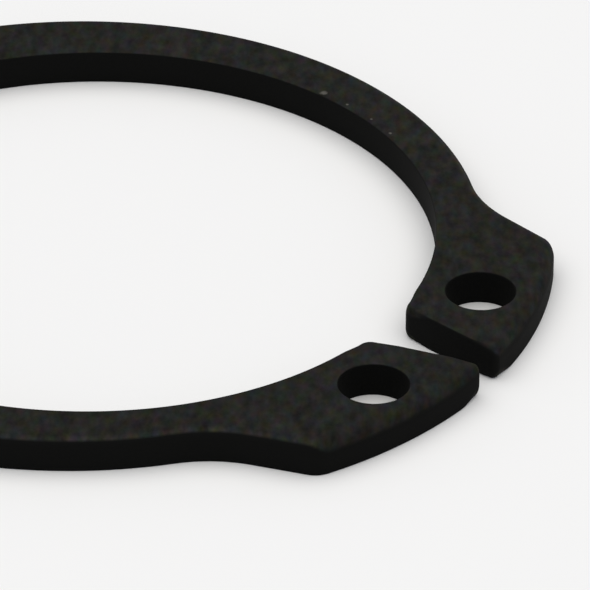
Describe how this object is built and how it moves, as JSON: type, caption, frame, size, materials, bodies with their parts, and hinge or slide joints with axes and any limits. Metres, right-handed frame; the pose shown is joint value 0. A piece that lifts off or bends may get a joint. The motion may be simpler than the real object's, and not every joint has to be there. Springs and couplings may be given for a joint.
{
  "type": "circlip retaining ring",
  "caption": "Flat external retaining ring that snaps into a shaft groove: a tapered open ring with lugs at its gap, each with a plier hole.",
  "frame": {"origin": "on the axis of the bore, in the plane of the bottom face", "axes": "+Z along the bore axis, out of the top face with the rolled edges; +X from the bore axis through the middle of the gap"},
  "size_m": [0.0299, 0.0274, 0.0012],
  "materials": {
    "spring_steel": "matte"
  },
  "bodies": {
    "root": {"retaining_ring": "spring_steel"}
  },
  "joints": []
}
